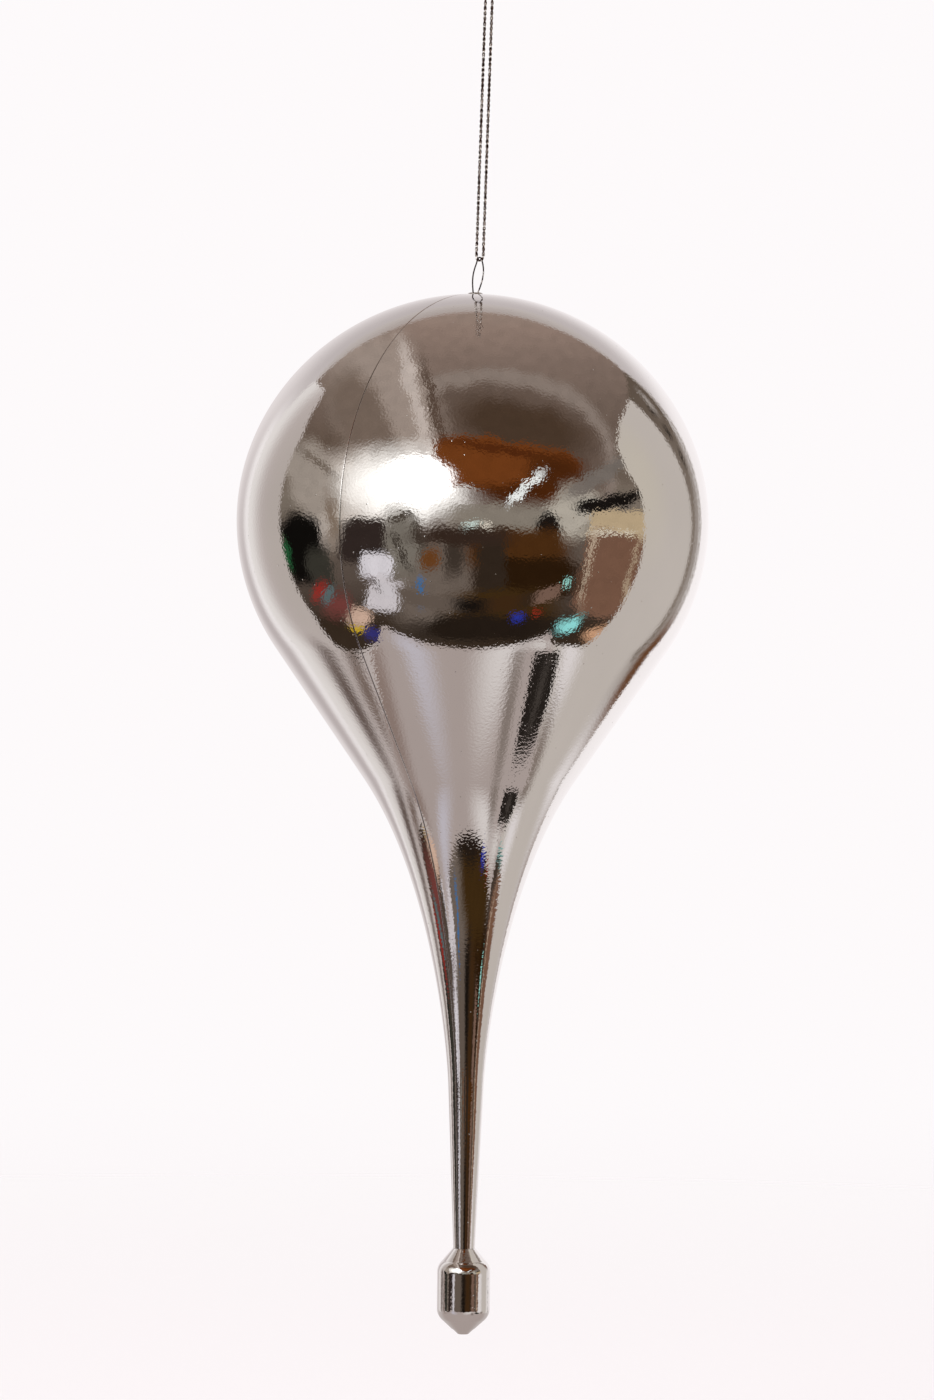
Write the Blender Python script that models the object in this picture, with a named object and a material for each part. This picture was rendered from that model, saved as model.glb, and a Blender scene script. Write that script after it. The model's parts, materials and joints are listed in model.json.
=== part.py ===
"""A large hanging drop ornament in the shape of a plumb bob.

Two moulded half shells meet on an upright seam, a tip bob plugs into the end of the stem, and a
round cap in the crown holds a bent wire hanger. A loop of twisted cord passes through the hanger.
Metres, +Z up. The origin is the point under the cord's knot where a hook holds the loop.
"""

import math

import bmesh
import bpy
from mathutils import Vector

MM = 0.001
GAP = 0.3 * MM

# The shell: a crown, a round lower half, a straight cone, a flare and a slim tapering stem.
BODY_RADIUS = 90.0 * MM
CROWN_HEIGHT = 86.6 * MM
CROWN_EXPONENT = 1.97
LOWER_DEPTH = 87.7 * MM
LOWER_ARC = math.radians(33.9)
CONE_LENGTH = 59.9 * MM
FLARE_UPPER_HANDLE = 47.0 * MM
FLARE_LOWER_HANDLE = 16.0 * MM
STEM_TOP_RADIUS = 6.8 * MM
STEM_TOP_DEPTH = 302.4 * MM
NECK_RADIUS = 4.15 * MM
NECK_DEPTH = 364.8 * MM
WALL = 1.8 * MM
STEM_WALL_SHARE = 0.4
SEAM_AZIMUTH = math.radians(-33.0)
SEAM_LIP = 2.0 * MM
SEAM_LIP_SHARE = 0.4
CROWN_HOLE_RADIUS = 2.6 * MM

# How many steps each stretch of the shell's outline is drawn in, and half a turn round it.
CROWN_STEPS = 12
LOWER_STEPS = 6
FLARE_STEPS = 9
STEM_STEPS = 3
HALF_TURN_STEPS = 20

# The tip bob, with the spigot that plugs into the stem.
TIP_RADIUS = 10.15 * MM
TIP_SHOULDER_DEPTH = 9.3 * MM
TIP_SHOULDER_CURVE = 6.0 * MM
TIP_SHOULDER_ANGLE = math.radians(48.0)
TIP_BELLY_DEPTH = 23.2 * MM
TIP_BELLY_CURVE = 6.0 * MM
TIP_BELLY_ANGLE = math.radians(-52.0)
TIP_CONE_RADIUS = 4.4 * MM
TIP_CONE_DEPTH = 31.1 * MM
TIP_HEIGHT = 33.1 * MM
NUB_RADIUS = 4.1 * MM
NUB_STEP = 0.1 * MM
NUB_FACE_RADIUS = 2.05 * MM
SPIGOT_RADIUS = 2.1 * MM
SPIGOT_LENGTH = 12.0 * MM
SPIGOT_CHAMFER = 0.4 * MM

# The snap-in cap and the wire hanger.
CAP_FLANGE_RADIUS = 2.9 * MM
CAP_FLANGE_THICKNESS = 0.4 * MM
CAP_FLANGE_SLOPE = 0.7 * MM
CAP_FLANGE_EDGE = 0.1 * MM
CAP_BARREL_RADIUS = CROWN_HOLE_RADIUS - GAP
CAP_BEAD_RADIUS = 2.9 * MM
CAP_BEAD_HEIGHT = 0.3 * MM
CAP_BORE_RADIUS = 1.8 * MM
CAP_LENGTH = 4.0 * MM
CAP_CHAMFER = 0.2 * MM
WIRE_DIAMETER = 0.55 * MM
WIRE_AZIMUTH = math.radians(40.0)
EYE_ARC_RADIUS = 1.15 * MM
EYE_CENTRE = (1.95 * MM, 12.8 * MM)

# The hanging cord. Its strands lie across the wire's plane.
CORD_DIAMETER = 1.1 * MM
CORD_AZIMUTH = WIRE_AZIMUTH - math.radians(90.0)
CORD_DROP = 103.2 * MM
CORD_LEAN = math.radians(1.35)
STRAND_OFFSET = 2.0 * MM
KNOT_HEIGHT = 6.4 * MM
KNOT_RADIUS = 2.3 * MM
KNOT_BOTTOM = 6.0 * MM

# Places that follow from the sizes above.
CORD_SHIFT = math.tan(CORD_LEAN) * CORD_DROP
BIGHT = Vector((-CORD_SHIFT, 0.0, -CORD_DROP))
POLE = BIGHT - Vector(
    (
        EYE_CENTRE[0] * math.cos(WIRE_AZIMUTH),
        EYE_CENTRE[0] * math.sin(WIRE_AZIMUTH),
        EYE_CENTRE[1],
    )
)


# ---------------------------------------------------------------- helpers


def clear_scene():
    for old in list(bpy.data.objects):
        bpy.data.objects.remove(old, do_unlink=True)


def material(name, colour, roughness, metallic):
    made = bpy.data.materials.new(name)
    made.use_nodes = True
    made.diffuse_color = (*colour, 1.0)
    shader = made.node_tree.nodes["Principled BSDF"]
    shader.inputs["Base Color"].default_value = (*colour, 1.0)
    shader.inputs["Roughness"].default_value = roughness
    shader.inputs["Metallic"].default_value = metallic
    return made


def link(made, parent, location, turn=0.0):
    """Puts an object in the scene, at a place in its parent's frame and turned about Z."""
    bpy.context.scene.collection.objects.link(made)
    made.parent = parent
    made.location = location
    made.rotation_euler = (0.0, 0.0, turn)
    return made


def add_piece(name, data, look, parent, location=(0.0, 0.0, 0.0), turn=0.0):
    data.materials.append(look)
    return link(bpy.data.objects.new(name, data), parent, location, turn)


def add_pivot(name, parent, location):
    """An empty on a joint's axis, which carries the pieces that move with it."""
    made = bpy.data.objects.new(name, None)
    made.empty_display_size = 10.0 * MM
    return link(made, parent, location)


def mesh_of(name, points, faces, crease=math.radians(30.0)):
    mesh = bpy.data.meshes.new(name)
    mesh.from_pydata(points, [], faces)
    mesh.update()
    mesh.shade_smooth()
    mesh.set_sharp_from_angle(angle=crease)
    return mesh


def arc(centre, radius, start, end, steps):
    """Points on a circle in the plane of a profile, from one angle to another."""
    angles = [start + (end - start) * i / steps for i in range(steps + 1)]
    return [(centre[0] + radius * math.cos(a), centre[1] + radius * math.sin(a)) for a in angles]


def turned_mesh(name, profile, segments):
    """A solid turned about Z from a closed profile of (radius, z) that may touch the axis."""
    points = []
    rings = []
    for radius, z in profile:
        if radius < 1e-7:
            rings.append([len(points)])
            points.append((0.0, 0.0, z))
            continue
        rings.append(list(range(len(points), len(points) + segments)))
        for i in range(segments):
            angle = 2.0 * math.pi * i / segments
            points.append((radius * math.cos(angle), radius * math.sin(angle), z))
    faces = []
    for upper, lower in zip(rings, rings[1:] + rings[:1]):
        if len(upper) == 1 and len(lower) == 1:
            continue
        for i in range(segments):
            k = (i + 1) % segments
            above = [upper[k % len(upper)], upper[i % len(upper)]]
            below = [lower[i % len(lower)], lower[k % len(lower)]]
            faces.append(list(dict.fromkeys(above + below)))
    return mesh_of(name, points, faces)


def smooth_route(route, spacing):
    """Points about a spacing apart on a centripetal Catmull-Rom curve through a route's points."""
    route = [Vector(p) for p in route]
    ends = [2.0 * route[0] - route[1]] + route + [2.0 * route[-1] - route[-2]]
    points = [route[0]]
    for p0, p1, p2, p3 in zip(ends, ends[1:], ends[2:], ends[3:]):
        t1 = math.sqrt((p1 - p0).length)
        t2 = t1 + math.sqrt((p2 - p1).length)
        t3 = t2 + math.sqrt((p3 - p2).length)
        steps = max(1, round((p2 - p1).length / spacing))
        for i in range(1, steps + 1):
            t = t1 + (t2 - t1) * i / steps
            a1 = p0.lerp(p1, t / t1)
            a2 = p1.lerp(p2, (t - t1) / (t2 - t1))
            a3 = p2.lerp(p3, (t - t2) / (t3 - t2))
            b1 = a1.lerp(a2, t / t2)
            b2 = a2.lerp(a3, (t - t1) / (t3 - t1))
            points.append(b1.lerp(b2, (t - t1) / (t2 - t1)))
    return points


def tube_curve(name, points, diameter):
    """A round tube with filled ends on one open polyline."""
    curve = bpy.data.curves.new(name, "CURVE")
    curve.dimensions = "3D"
    curve.bevel_depth = diameter / 2.0
    curve.bevel_resolution = 2
    curve.use_fill_caps = True
    spline = curve.splines.new("POLY")
    spline.points.add(len(points) - 1)
    for target, point in zip(spline.points, points):
        target.co = (*point, 1.0)
    spline.use_smooth = True
    return curve


# ---------------------------------------------------------------- the shell's outline


def flare(t):
    """A Bezier curve from the end of the cone to the top of the stem."""
    drop = CROWN_HEIGHT + LOWER_DEPTH * math.sin(LOWER_ARC)
    slope = Vector((-BODY_RADIUS * math.sin(LOWER_ARC), -LOWER_DEPTH * math.cos(LOWER_ARC)))
    slope.normalize()
    start = Vector((BODY_RADIUS * math.cos(LOWER_ARC), -drop)) + slope * CONE_LENGTH
    end = Vector((STEM_TOP_RADIUS, -STEM_TOP_DEPTH))
    stem = (Vector((NECK_RADIUS, -NECK_DEPTH)) - end).normalized()
    upper = start + slope * FLARE_UPPER_HANDLE
    lower = end - stem * FLARE_LOWER_HANDLE
    s = 1.0 - t
    point = start * s**3 + upper * 3 * s * s * t + lower * 3 * s * t * t + end * t**3
    return (point.x, point.y)


def shell_outline():
    """(radius, height above the pole) from the crown hole's edge down to the neck."""
    points = []
    hole_angle = math.acos((CROWN_HOLE_RADIUS / BODY_RADIUS) ** (CROWN_EXPONENT / 2.0))
    for i in range(CROWN_STEPS + 1):
        angle = hole_angle * (1.0 - i / CROWN_STEPS)
        radius = BODY_RADIUS * math.cos(angle) ** (2.0 / CROWN_EXPONENT)
        rise = CROWN_HEIGHT * math.sin(angle) ** (2.0 / CROWN_EXPONENT)
        points.append((radius, rise - CROWN_HEIGHT))
    for i in range(1, LOWER_STEPS + 1):
        angle = LOWER_ARC * i / LOWER_STEPS
        drop = CROWN_HEIGHT + LOWER_DEPTH * math.sin(angle)
        points.append((BODY_RADIUS * math.cos(angle), -drop))
    points += [flare(i / FLARE_STEPS) for i in range(FLARE_STEPS + 1)]
    for i in range(1, STEM_STEPS + 1):
        share = i / STEM_STEPS
        radius = STEM_TOP_RADIUS + (NECK_RADIUS - STEM_TOP_RADIUS) * share
        drop = STEM_TOP_DEPTH + (NECK_DEPTH - STEM_TOP_DEPTH) * share
        points.append((radius, -drop))
    return points


def inset_outline(outline, share, extra):
    """The outline moved inwards by a share of the wall's thickness plus an extra depth."""
    moved = []
    last = len(outline) - 1
    for i, (radius, z) in enumerate(outline):
        ahead = Vector(outline[min(i + 1, last)])
        behind = Vector(outline[max(i - 1, 0)])
        along = (ahead - behind).normalized()
        inwards = Vector((along.y, -along.x))
        wall = min(WALL, STEM_WALL_SHARE * radius)
        if i == 0:
            inwards = Vector((0.0, -1.0))
            wall = WALL
        if i == last:
            inwards = Vector((-1.0, 0.0))
        depth = wall * share + extra
        moved.append((radius + inwards.x * depth, z + inwards.y * depth))
    return moved


# ---------------------------------------------------------------- pieces


def half_ring(radius, z, plane):
    """Points round half a turn, from the seam plane's one side to its other.

    The plane stands off the axis by the given distance, which is negative across the seam."""
    start = math.asin(plane / radius)
    sweep = math.pi - 2.0 * start
    angles = [start + sweep * i / HALF_TURN_STEPS for i in range(HALF_TURN_STEPS + 1)]
    return [(radius * math.cos(a), radius * math.sin(a), z) for a in angles]


def shell_section(outer, middle, inner, outer_plane, inner_plane):
    """One level of a half shell: a C-shaped ring of points whose ends are stepped at the seam."""
    steps = [half_ring(*middle, outer_plane), half_ring(*middle, inner_plane)]
    ring = half_ring(*outer, outer_plane)
    ring += [step[-1] for step in steps]
    ring += reversed(half_ring(*inner, inner_plane))
    ring += [step[0] for step in reversed(steps)]
    return ring


def end_faces(first, flip):
    """The faces that close a half shell at one of its ends, whose ring starts at a point's index."""
    outer_last = HALF_TURN_STEPS
    inner_first = HALF_TURN_STEPS + 3
    inner_last = inner_first + HALF_TURN_STEPS
    faces = [[i, i + 1, inner_last - i - 1, inner_last - i] for i in range(HALF_TURN_STEPS)]
    faces.append([outer_last, outer_last + 1, outer_last + 2, inner_first])
    faces.append([0, inner_last, inner_last + 1, inner_last + 2])
    faces = [[first + i for i in face] for face in faces]
    return [face[::-1] for face in faces] if flip else faces


def half_shell_mesh(name, has_tongue):
    """Half of the hollow shell, with the lap joint's tongue along its seam, or its recess."""
    outline = shell_outline()
    middle = inset_outline(outline, 0.5, GAP / 2.0 if has_tongue else -GAP / 2.0)
    inner = inset_outline(outline, 1.0, 0.0)
    points = []
    for levels in zip(outline, middle, inner):
        lip = min(SEAM_LIP, SEAM_LIP_SHARE * levels[2][0])
        points += shell_section(*levels, GAP / 2.0, -lip if has_tongue else lip + GAP)
    count = len(points) // len(outline)
    faces = end_faces(0, flip=False)
    faces += end_faces(len(points) - count, flip=True)
    for here in range(0, len(points) - count, count):
        for i in range(count):
            k = (i + 1) % count
            faces.append([here + i, here + count + i, here + count + k, here + k])
    return mesh_of(name, points, faces)


def tip_mesh(name):
    """The tip bob with its spigot, turned from the spigot's end to the nub's flat face."""
    neck = -GAP
    shoulder = (TIP_RADIUS - TIP_SHOULDER_CURVE, -TIP_SHOULDER_DEPTH)
    belly = (TIP_RADIUS - TIP_BELLY_CURVE, -TIP_BELLY_DEPTH)
    profile = [
        (0.0, SPIGOT_LENGTH),
        (SPIGOT_RADIUS - SPIGOT_CHAMFER, SPIGOT_LENGTH),
        (SPIGOT_RADIUS, SPIGOT_LENGTH - 2.0 * SPIGOT_CHAMFER),
        (SPIGOT_RADIUS, neck),
        (NECK_RADIUS, neck),
    ]
    profile += arc(shoulder, TIP_SHOULDER_CURVE, TIP_SHOULDER_ANGLE, 0.0, 4)
    profile += arc(belly, TIP_BELLY_CURVE, 0.0, TIP_BELLY_ANGLE, 4)
    profile += [
        (TIP_CONE_RADIUS, -TIP_CONE_DEPTH),
        (NUB_RADIUS, -TIP_CONE_DEPTH - NUB_STEP),
        (NUB_FACE_RADIUS, -TIP_HEIGHT),
        (0.0, -TIP_HEIGHT),
    ]
    return turned_mesh(name, profile, 32)


def cap_mesh(name):
    """The snap-in cap: a thin flange over the crown, a barrel and the bead that holds it in."""
    top = GAP + CAP_FLANGE_THICKNESS
    bead = -WALL - 2.0 * GAP
    profile = [
        (CAP_BORE_RADIUS, top),
        (CAP_FLANGE_RADIUS - CAP_FLANGE_SLOPE, top),
        (CAP_FLANGE_RADIUS, GAP + CAP_FLANGE_EDGE),
        (CAP_FLANGE_RADIUS, GAP),
        (CAP_BARREL_RADIUS, GAP),
        (CAP_BARREL_RADIUS, bead),
        (CAP_BEAD_RADIUS, bead - CAP_CHAMFER),
        (CAP_BEAD_RADIUS, bead - CAP_CHAMFER - CAP_BEAD_HEIGHT),
        (CAP_BARREL_RADIUS, -CAP_LENGTH),
        (CAP_BORE_RADIUS, -CAP_LENGTH),
    ]
    return turned_mesh(name, profile, 24)


def hanger_points():
    """The wire's route in its own plane, from one leg's end round the eye to the other's."""
    leg = [(7.2, -6.4), (6.3, -5.5), (4.2, -5.05), (2.5, -5.0), (1.5, -4.5), (1.15, -3.1)]
    left_side = [(-1.12, 0.0), (-1.45, 4.4), (-1.2, 7.2), (-0.5, 9.6), (0.3, 11.5)]
    right_side = [(3.62, 11.2), (3.9, 8.8), (3.5, 5.9), (2.3, 2.6), (1.12, 0.0)]
    route = [(-u * MM, w * MM) for u, w in leg]
    route += [(u * MM, w * MM) for u, w in left_side]
    route += arc(EYE_CENTRE, EYE_ARC_RADIUS, math.radians(172), math.radians(8), 6)
    route += [(u * MM, w * MM) for u, w in right_side]
    route += [(u * MM, w * MM) for u, w in reversed(leg)]
    return smooth_route([(u, 0.0, w) for u, w in route], 0.7 * MM)


def cord_points():
    """The cord's loop: one strand down from the knot, round the hanger's eye and back up."""
    strand = [
        (0.62, 5.7),
        (0.85, 4.2),
        (1.5, 1.6),
        (1.94, -1.2),
        (2.0, -5.0),
        (2.0, -20.0),
        (2.0, -40.0),
        (2.0, -60.0),
        (2.0, -80.0),
        (2.0, -96.0),
    ]
    flat = [(-v * MM, z * MM) for v, z in strand]
    flat += arc((0.0, STRAND_OFFSET - CORD_DROP), STRAND_OFFSET, math.pi, 2.0 * math.pi, 6)
    flat += [(v * MM, z * MM) for v, z in reversed(strand)]
    across = Vector((math.cos(CORD_AZIMUTH), math.sin(CORD_AZIMUTH), 0.0))
    lean = Vector((math.tan(CORD_LEAN), 0.0, 1.0))
    return smooth_route([across * v + lean * z for v, z in flat], 3.0 * CORD_DIAMETER)


def knot_mesh(name):
    """The overhand knot in the doubled cord, as one plain rounded body."""
    steps = 8
    middle = KNOT_BOTTOM + KNOT_HEIGHT / 2.0
    profile = [(0.0, middle + KNOT_HEIGHT / 2.0)]
    for i in range(1, steps):
        angle = math.pi / 2.0 - math.pi * i / steps
        rise = KNOT_HEIGHT / 2.0 * math.sin(angle)
        profile.append((KNOT_RADIUS * math.cos(angle), middle + rise))
    profile.append((0.0, KNOT_BOTTOM))
    return turned_mesh(name, profile, 16)


def tail_mesh(name, route):
    """One cut end of the cord above the knot, as a closed mesh that a Boolean takes."""
    points = smooth_route([Vector(p) * MM for p in route], CORD_DIAMETER)
    guide = bpy.data.objects.new(name, tube_curve(name, points, CORD_DIAMETER))
    mesh = bpy.data.meshes.new_from_object(guide)
    bpy.data.objects.remove(guide, do_unlink=True)
    welded = bmesh.new()
    welded.from_mesh(mesh)
    bmesh.ops.remove_doubles(welded, verts=welded.verts, dist=0.001 * MM)
    bmesh.ops.recalc_face_normals(welded, faces=welded.faces)
    welded.to_mesh(mesh)
    welded.free()
    return mesh


def add_knot(look, parent):
    """The knot with its two tails joined on."""
    knot = add_piece("cord_knot", knot_mesh("cord_knot"), look, parent)
    tails = (
        [(0.5, 0.0, 10.5), (0.9, 0.2, 13.0), (1.9, 0.5, 16.0), (3.4, 0.9, 18.6)],
        [(-0.5, 0.0, 10.5), (-0.8, -0.2, 13.0), (-1.4, -0.6, 16.4), (-2.2, -1.2, 19.8)],
    )
    for number, route in enumerate(tails, 1):
        name = f"cord_tail_{number}"
        guide = add_piece(name, tail_mesh(name, route), look, parent)
        guide.hide_render = True
        guide.display_type = "WIRE"
        union = knot.modifiers.new(name, "BOOLEAN")
        union.operation = "UNION"
        union.object = guide


# ---------------------------------------------------------------- the assembly


def main():
    clear_scene()
    silver = material("metallised_plastic", (0.80, 0.79, 0.79), 0.06, 1.0)
    cap_silver = material("cap_plastic", (0.78, 0.77, 0.77), 0.14, 1.0)
    steel = material("hanger_wire", (0.42, 0.38, 0.36), 0.25, 1.0)
    tinsel = material("metallic_cord", (0.74, 0.72, 0.70), 0.30, 0.9)

    hook = add_pivot("hook_point", None, (0.0, 0.0, 0.0))
    swing = add_pivot("hanger_swing_axis", hook, BIGHT)
    swivel = add_pivot("ornament_swivel_axis", swing, POLE - BIGHT)

    cord = tube_curve("hanging_cord", cord_points(), CORD_DIAMETER)
    add_piece("hanging_cord", cord, tinsel, hook)
    add_knot(tinsel, hook)

    wire = tube_curve("wire_hanger", hanger_points(), WIRE_DIAMETER)
    add_piece("wire_hanger", wire, steel, swing, POLE - BIGHT, WIRE_AZIMUTH)

    add_piece("hanger_cap", cap_mesh("hanger_cap"), cap_silver, swivel)
    left_turn = SEAM_AZIMUTH + math.pi / 2.0
    right_turn = SEAM_AZIMUTH - math.pi / 2.0
    left = half_shell_mesh("left_half_shell", has_tongue=True)
    right = half_shell_mesh("right_half_shell", has_tongue=False)
    add_piece("left_half_shell", left, silver, swivel, turn=left_turn)
    add_piece("right_half_shell", right, silver, swivel, turn=right_turn)
    add_piece("tip_bob", tip_mesh("tip_bob"), silver, swivel, (0.0, 0.0, -NECK_DEPTH))


main()
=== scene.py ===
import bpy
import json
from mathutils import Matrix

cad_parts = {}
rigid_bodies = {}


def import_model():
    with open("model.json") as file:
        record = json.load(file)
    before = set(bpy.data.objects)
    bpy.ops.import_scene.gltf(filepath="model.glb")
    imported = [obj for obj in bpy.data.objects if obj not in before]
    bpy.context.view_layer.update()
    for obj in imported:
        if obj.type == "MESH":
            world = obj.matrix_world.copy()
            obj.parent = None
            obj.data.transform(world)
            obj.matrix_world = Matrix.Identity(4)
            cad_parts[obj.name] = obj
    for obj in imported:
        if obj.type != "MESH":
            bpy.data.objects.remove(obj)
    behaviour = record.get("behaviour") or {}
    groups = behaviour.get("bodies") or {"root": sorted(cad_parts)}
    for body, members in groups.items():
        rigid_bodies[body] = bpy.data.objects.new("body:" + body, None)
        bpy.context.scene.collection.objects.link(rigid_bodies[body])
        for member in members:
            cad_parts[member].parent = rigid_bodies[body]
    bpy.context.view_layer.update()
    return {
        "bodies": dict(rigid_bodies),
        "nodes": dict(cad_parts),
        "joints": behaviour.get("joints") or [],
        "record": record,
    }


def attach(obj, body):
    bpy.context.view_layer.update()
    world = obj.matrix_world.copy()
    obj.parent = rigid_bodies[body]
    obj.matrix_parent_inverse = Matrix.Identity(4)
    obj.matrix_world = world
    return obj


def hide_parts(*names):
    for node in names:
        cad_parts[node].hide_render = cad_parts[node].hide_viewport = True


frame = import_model()

import json
import math

import bpy
from mathutils import Matrix, Vector

MM = 0.001
TAU = 2.0 * math.pi

# ------------ sizes, repeated from part.py

GAP = 0.3 * MM
BODY_RADIUS = 90.0 * MM
CROWN_HEIGHT = 86.6 * MM
CROWN_EXPONENT = 1.97
LOWER_DEPTH = 87.7 * MM
LOWER_ARC = math.radians(33.9)
CONE_LENGTH = 59.9 * MM
FLARE_UPPER_HANDLE = 47.0 * MM
FLARE_LOWER_HANDLE = 16.0 * MM
STEM_TOP_RADIUS = 6.8 * MM
STEM_TOP_DEPTH = 302.4 * MM
NECK_RADIUS = 4.15 * MM
NECK_DEPTH = 364.8 * MM
WALL = 1.8 * MM
STEM_WALL_SHARE = 0.4
SEAM_AZIMUTH = math.radians(-33.0)
SEAM_LIP = 2.0 * MM
SEAM_LIP_SHARE = 0.4
CROWN_HOLE_RADIUS = 2.6 * MM

TIP_RADIUS = 10.15 * MM
TIP_SHOULDER_DEPTH = 9.3 * MM
TIP_SHOULDER_CURVE = 6.0 * MM
TIP_SHOULDER_ANGLE = math.radians(48.0)
TIP_BELLY_DEPTH = 23.2 * MM
TIP_BELLY_CURVE = 6.0 * MM
TIP_BELLY_ANGLE = math.radians(-52.0)
TIP_CONE_RADIUS = 4.4 * MM
TIP_CONE_DEPTH = 31.1 * MM
TIP_HEIGHT = 33.1 * MM
NUB_RADIUS = 4.1 * MM
NUB_STEP = 0.1 * MM
NUB_FACE_RADIUS = 2.05 * MM
SPIGOT_RADIUS = 2.1 * MM
SPIGOT_LENGTH = 12.0 * MM

CAP_FLANGE_RADIUS = 2.9 * MM
CAP_BARREL_RADIUS = CROWN_HOLE_RADIUS - GAP
CAP_BEAD_RADIUS = 2.9 * MM
CAP_BORE_RADIUS = 1.8 * MM
CAP_LENGTH = 4.0 * MM
WIRE_DIAMETER = 0.55 * MM
WIRE_AZIMUTH = math.radians(40.0)
EYE_ARC_RADIUS = 1.15 * MM
EYE_CENTRE = (1.95 * MM, 12.8 * MM)

CORD_AZIMUTH = WIRE_AZIMUTH - math.radians(90.0)
CORD_DROP = 103.2 * MM
CORD_LEAN = math.radians(1.35)
STRAND_OFFSET = 2.0 * MM

BIGHT = Vector((-math.tan(CORD_LEAN) * CORD_DROP, 0.0, -CORD_DROP))
POLE = BIGHT - Vector(
    (
        EYE_CENTRE[0] * math.cos(WIRE_AZIMUTH),
        EYE_CENTRE[0] * math.sin(WIRE_AZIMUTH),
        EYE_CENTRE[1],
    )
)
BODY_CENTRE = POLE - Vector((0.0, 0.0, CROWN_HEIGHT))


def level(azimuth):
    """The level direction at an azimuth."""
    return Vector((math.cos(azimuth), math.sin(azimuth), 0.0))


def new_object(name, data):
    made = bpy.data.objects.new(name, data)
    bpy.context.scene.collection.objects.link(made)
    return made


# ------------ the camera

FRAME_HEIGHT = 1400 * 0.382 * MM
CAMERA_DISTANCE = 2.2
CAMERA_ROLL = math.radians(0.68)
SENSOR = 36.0
AIM = Vector((-0.00527, 0.0, -0.27091))

camera_data = bpy.data.cameras.new("camera")
camera_data.sensor_width = SENSOR
camera_data.lens = SENSOR * CAMERA_DISTANCE / FRAME_HEIGHT
camera_data.clip_start = 0.05
camera_data.clip_end = 50.0
camera = new_object("camera", camera_data)
camera.location = (AIM.x, -CAMERA_DISTANCE, BODY_CENTRE.z)
look = (AIM - camera.location).to_track_quat("-Z", "Y").to_matrix()
camera.rotation_euler = (look @ Matrix.Rotation(CAMERA_ROLL, 3, "Z")).to_euler()
bpy.context.scene.camera = camera
bpy.context.scene.view_settings.view_transform = "Standard"

# ------------ mesh helpers

TINY = 1e-9


def mesh_with_normals(name, points, faces, normals):
    """A smooth mesh. normals holds one vector for each face corner, or None where the face is flat."""
    mesh = bpy.data.meshes.new(name)
    mesh.from_pydata(points, [], faces)
    mesh.update()
    corner_normals = []
    for polygon, corners in zip(mesh.polygons, normals):
        polygon.use_smooth = corners is not None
        if corners is None:
            corner_normals += [polygon.normal.copy()] * len(polygon.vertices)
        else:
            corner_normals += corners
    mesh.normals_split_custom_set(corner_normals)
    return mesh


def run_arc(centre, radius, start, end, steps):
    """A profile run on a circle: entries of (radius, z, normal radius, normal z)."""
    sign = 1.0 if radius > 0 else -1.0
    size = abs(radius)
    angles = [start + (end - start) * i / steps for i in range(steps + 1)]
    sides = [(math.cos(a), math.sin(a)) for a in angles]
    return [(centre[0] + size * c, centre[1] + size * s, sign * c, sign * s) for c, s in sides]


def run_line(a, b, steps=1):
    """A straight profile run. Its outward side is on the left of the way from a down to b."""
    along = Vector(b) - Vector(a)
    along.normalize()
    normal = (-along.y, along.x)
    return [
        (a[0] + (b[0] - a[0]) * i / steps, a[1] + (b[1] - a[1]) * i / steps, *normal)
        for i in range(steps + 1)
    ]


def rounded(corners, radii, steps=4):
    """Profile runs along straight lines between corners, whose corners are rounded."""
    runs = []
    previous = corners[0]
    for i in range(1, len(corners)):
        here = Vector(corners[i])
        radius = radii[i] if i < len(corners) - 1 else 0.0
        if radius <= 0.0:
            runs.append(run_line(previous, corners[i]))
            previous = corners[i]
            continue
        back = (Vector(corners[i - 1]) - here).normalized()
        ahead = (Vector(corners[i + 1]) - here).normalized()
        half = math.acos(max(-1.0, min(1.0, back.dot(ahead)))) / 2.0
        reach = radius / math.tan(half)
        first = here + back * reach
        second = here + ahead * reach
        centre = here + (back + ahead).normalized() * (radius / math.sin(half))
        runs.append(run_line(previous, tuple(first)))
        turn = back.x * ahead.y - back.y * ahead.x
        sign = 1.0 if turn > 0 else -1.0
        a0 = math.atan2(first.y - centre.y, first.x - centre.x)
        a1 = math.atan2(second.y - centre.y, second.x - centre.x)
        while a1 - a0 > math.pi:
            a1 -= TAU
        while a1 - a0 < -math.pi:
            a1 += TAU
        runs.append(run_arc(tuple(centre), sign * radius, a0, a1, steps))
        previous = tuple(second)
    return runs


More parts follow.
